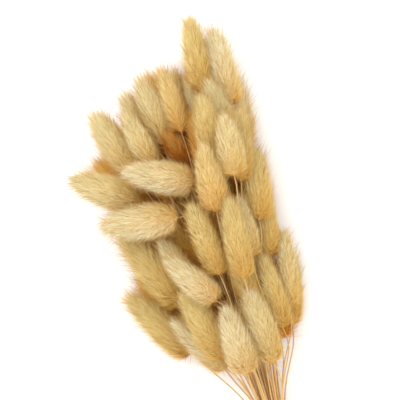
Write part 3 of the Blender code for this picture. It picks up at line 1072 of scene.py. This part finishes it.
def twine_tree() -> NodeTree:
    """Builds the tree that spins plies round a line of edges.

    Returns:
        The tree.
    """
    tree, given = new_tree(
        "twisted_twine",
        {
            "Plies": ("NodeSocketInt", 3),
            "Ply Radius": ("NodeSocketFloat", 0.0005),
            "Ply Offset": ("NodeSocketFloat", 0.0005),
            "Twists": ("NodeSocketFloat", 10.0),
            "Sides": ("NodeSocketInt", 6),
            "Step": ("NodeSocketFloat", 0.0008),
            "Jute": ("NodeSocketMaterial", None),
        },
    )
    put = given.outputs
    line = add_node(tree, "GeometryNodeMeshToCurve", {"Mesh": put["Geometry"]})
    even = add_node(
        tree, "GeometryNodeResampleCurve", {"Curve": out(line), "Length": put["Step"]}, mode="LENGTH"
    )
    plies = add_node(
        tree,
        "GeometryNodeDuplicateElements",
        {"Geometry": out(even), "Amount": put["Plies"]},
        domain="SPLINE",
    )
    share = calc(tree, "DIVIDE", plies.outputs["Duplicate Index"], put["Plies"])
    factor = add_node(tree, "GeometryNodeSplineParameter", {}).outputs["Factor"]
    turns = calc(tree, "MULTIPLY_ADD", factor, put["Twists"], share)
    angle = calc(tree, "MULTIPLY", turns, 2 * math.pi)
    tangent = add_node(tree, "GeometryNodeInputTangent", {})
    normal = add_node(tree, "GeometryNodeInputNormal", {})
    aside = add_node(
        tree,
        "ShaderNodeVectorRotate",
        {"Vector": out(normal), "Axis": out(tangent), "Angle": angle},
        rotation_type="AXIS_ANGLE",
    )
    offset = vector(tree, "SCALE", out(aside), put["Ply Offset"])
    spun = add_node(
        tree, "GeometryNodeSetPosition", {"Geometry": plies.outputs["Geometry"], "Offset": offset}
    )
    ring = add_node(
        tree,
        "GeometryNodeCurvePrimitiveCircle",
        {"Resolution": put["Sides"], "Radius": put["Ply Radius"]},
    )
    tube = add_node(
        tree,
        "GeometryNodeCurveToMesh",
        {"Curve": out(spun), "Profile Curve": out(ring), "Fill Caps": True},
    )
    return end_tree(tree, tube, put["Jute"])


@dataclass
class Tie:
    """Three turns of twine round the stems, with an overhand knot on top."""

    twine_radius: float = 1.0 * MM
    turns: int = 3
    gap: float = 0.3 * MM
    plies: int = 3
    ply_radius: float = 0.52
    ply_offset: float = 0.5
    twist_pitch: float = 7.0 * MM
    knot_size: float = 1.5 * MM
    knot_flatness: float = 0.8
    knot_lift: float = 0.3 * MM
    steps_a_turn: int = 32
    knot_steps: int = 60

    def coil(self, middle: Vector, ring: float) -> np.ndarray:
        """Returns the line of the turns, from under the bunch to under it again."""
        step = np.arange(self.turns * self.steps_a_turn + 1) / self.steps_a_turn
        angle = 2 * math.pi * step - math.pi / 2
        along = (step - self.turns / 2) * (2 * self.twine_radius + self.gap)
        return np.column_stack(
            [middle.x + ring * np.cos(angle), middle.y + along, middle.z + ring * np.sin(angle)]
        )

    def knot(self, middle: Vector, height: float) -> np.ndarray:
        """Returns the closed line of the knot, which lies flat at a height over the middle."""
        angle = 2 * math.pi * np.arange(self.knot_steps) / self.knot_steps
        across = np.sin(angle) + 2 * np.sin(2 * angle)
        along = np.cos(angle) - 2 * np.cos(2 * angle)
        up = -np.sin(3 * angle) * self.knot_flatness
        return np.column_stack(
            [
                middle.x + across * self.knot_size,
                middle.y + along * self.knot_size,
                height + up * self.knot_size,
            ]
        )

    def build(self, middle: Vector, ring: float) -> Object:
        """Makes the tie's piece and hangs it on the frame.

        Args:
            middle: The middle of the tie.
            ring: The radius of the twine's own line round the stems.

        Returns:
            The piece.
        """
        tree = twine_tree()
        jute = Jute().material()
        knot_height = middle.z + ring + self.twine_radius + self.knot_lift
        lines = ((self.coil(middle, ring), False), (self.knot(middle, knot_height), True))
        made = []
        for i, (line, closed) in enumerate(lines):
            ends = np.vstack([line, line[:1]]) if closed else line
            length = np.linalg.norm(np.diff(ends, axis=0), axis=1).sum()
            values = {
                "Plies": self.plies,
                "Ply Radius": self.twine_radius * self.ply_radius,
                "Ply Offset": self.twine_radius * self.ply_offset,
                "Twists": float(round(length / self.twist_pitch)),
                "Jute": jute,
            }
            made.append(grown(line_mesh(f"tie_part_{i}", line, {}, closed), tree, values))
        whole = bmesh.new()
        for part in made:
            whole.from_mesh(part.data)
        bmesh.ops.recalc_face_normals(whole, faces=whole.faces)
        mesh = bpy.data.meshes.new("twine_tie")
        whole.to_mesh(mesh)
        whole.free()
        mesh.materials.append(jute)
        mesh.shade_smooth()
        for part in made:
            bpy.data.objects.remove(part)
        return hang(placed("twine_tie", mesh), "tie")


@dataclass
class Studio:
    """The table, the light and the camera."""

    aim: Vector
    height: float = 1.6
    turned_deg: float = -17.0
    width_seen: float = 0.286
    sensor: float = 36.0
    sky_colour: tuple[float, float, float, float] = (1.0, 0.983, 0.95, 1.0)
    sky_strength: float = 1.3
    lamp_from_aim: tuple[float, float, float] = (-0.35, 0.35, 1.5)
    lamp_size: float = 1.5
    lamp_power: float = 16.0
    table_half: float = 3.0
    table_drop: float = 0.3 * MM

    def floor(self) -> Object:
        """Makes the table top, just under what lies on it."""
        mesh = bpy.data.meshes.new("table_top")
        half, level = self.table_half, -self.table_drop
        points = [(-half, -half, level), (half, -half, level), (half, half, level), (-half, half, level)]
        mesh.from_pydata(points, [], [(0, 1, 2, 3)])
        mesh.materials.append(TableTop().material())
        table = placed("table_top", mesh)
        return table

    def light(self) -> None:
        """Sets an even, slightly warm sky and a large soft lamp over the left of the picture."""
        world = bpy.data.worlds.new("studio")
        world.use_nodes = True
        sky = world.node_tree.nodes["Background"]
        sky.inputs["Color"].default_value = self.sky_colour
        sky.inputs["Strength"].default_value = self.sky_strength
        bpy.context.scene.world = world
        lamp = bpy.data.lights.new("soft_box", "AREA")
        lamp.shape = "DISK"
        lamp.size = self.lamp_size
        lamp.energy = self.lamp_power
        holder = placed("soft_box", lamp)
        holder.location = self.aim + Vector(self.lamp_from_aim)
        holder.rotation_mode = "QUATERNION"
        holder.rotation_quaternion = (self.aim - holder.location).to_track_quat("-Z", "Y")

    def camera(self) -> None:
        """Sets the camera straight above, turned as the picture is."""
        lens = bpy.data.cameras.new("camera")
        lens.sensor_width = self.sensor
        lens.lens = self.sensor * self.height / self.width_seen
        holder = placed("camera", lens)
        holder.location = self.aim + Vector((0.0, 0.0, self.height))
        holder.rotation_euler = (0.0, 0.0, math.radians(self.turned_deg))
        bpy.context.scene.camera = holder
        bpy.context.scene.view_settings.view_transform = "Standard"


def clear_startup() -> None:
    """Removes what Blender starts with, and keeps the frame."""
    kept = {*frame["nodes"].values(), *frame["bodies"].values()}
    for thing in set(bpy.data.objects) - kept:
        bpy.data.objects.remove(thing)


def triangles(piece: Object) -> int:
    """Returns how many triangles a piece's mesh holds."""
    return sum(len(face.vertices) - 2 for face in piece.data.polygons)


def plan_head(stalk: Stalk) -> Head:
    """Settles a head's own shape and how its hairs grow.

    Args:
        stalk: The stalk that carries it.

    Returns:
        The head, not built yet.
    """
    chance = np.random.default_rng(HEAD_SEED + stalk.number)
    widest_at, bluntness = chance.uniform(*WIDEST_BETWEEN), chance.uniform(*BLUNTNESS_BETWEEN)
    head = Head(stalk, widest_at=widest_at, bluntness=bluntness)
    # A head under the others is hardly seen, so it has half the hairs, longer, on a full core
    if stalk.tint is Tint.SHADED:
        head = replace(head, fullness=0.5, core_share=1.0, reach=1.5)
    if stalk.number in LONG_HAIRED:
        head = replace(head, reach=LONG_REACH)
    return head


def main() -> None:
    """Builds every piece of the bunch, then the studio round it, and logs how many triangles each piece
    holds.
    """
    logging.basicConfig(level=logging.INFO, format="%(name)s: %(message)s")
    clear_startup()
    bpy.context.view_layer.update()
    stalks = [read_stalk(number + 1) for number in range(len(frame["nodes"]) - 1)]
    shapes = {name: hair_shape(name, levels) for name, levels in HAIR_SHAPES.items()}
    fluff, tube = fluff_tree(), tube_tree()
    straw = Straw().material()
    heads = [plan_head(stalk) for stalk in stalks]
    sky_occlusion = SkyOcclusion([planned.surface() for planned in heads])
    total = 0
    for stalk, planned in zip(stalks, heads):
        head = planned.build(fluff, shapes, sky_occlusion)
        stem = Stem(stalk).build(tube, straw)
        count = triangles(head) + triangles(stem)
        total += count
        LOG.info("%s and %s: %d triangles, %s", head.name, stem.name, count, stalk.tint.name.lower())
    for shape in shapes.values():
        bpy.data.objects.remove(shape)
    low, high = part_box("tie")
    ring = (high.x - low.x) / 2 - Tie.twine_radius
    stem_level = ring + 2 * Tie.twine_radius
    middle = Vector(((low.x + high.x) / 2, stalks[0].stem[1:3, 1].mean(), stem_level))
    tie = Tie().build(middle, ring)
    total += triangles(tie)
    LOG.info("%s: %d triangles, %d in all", tie.name, triangles(tie), total)
    studio = Studio(Vector((middle.x + VIEW_FROM_TIE[0], middle.y + VIEW_FROM_TIE[1], VIEW_HEIGHT)))
    studio.floor()
    studio.light()
    studio.camera()


if __name__ == "__main__":
    main()
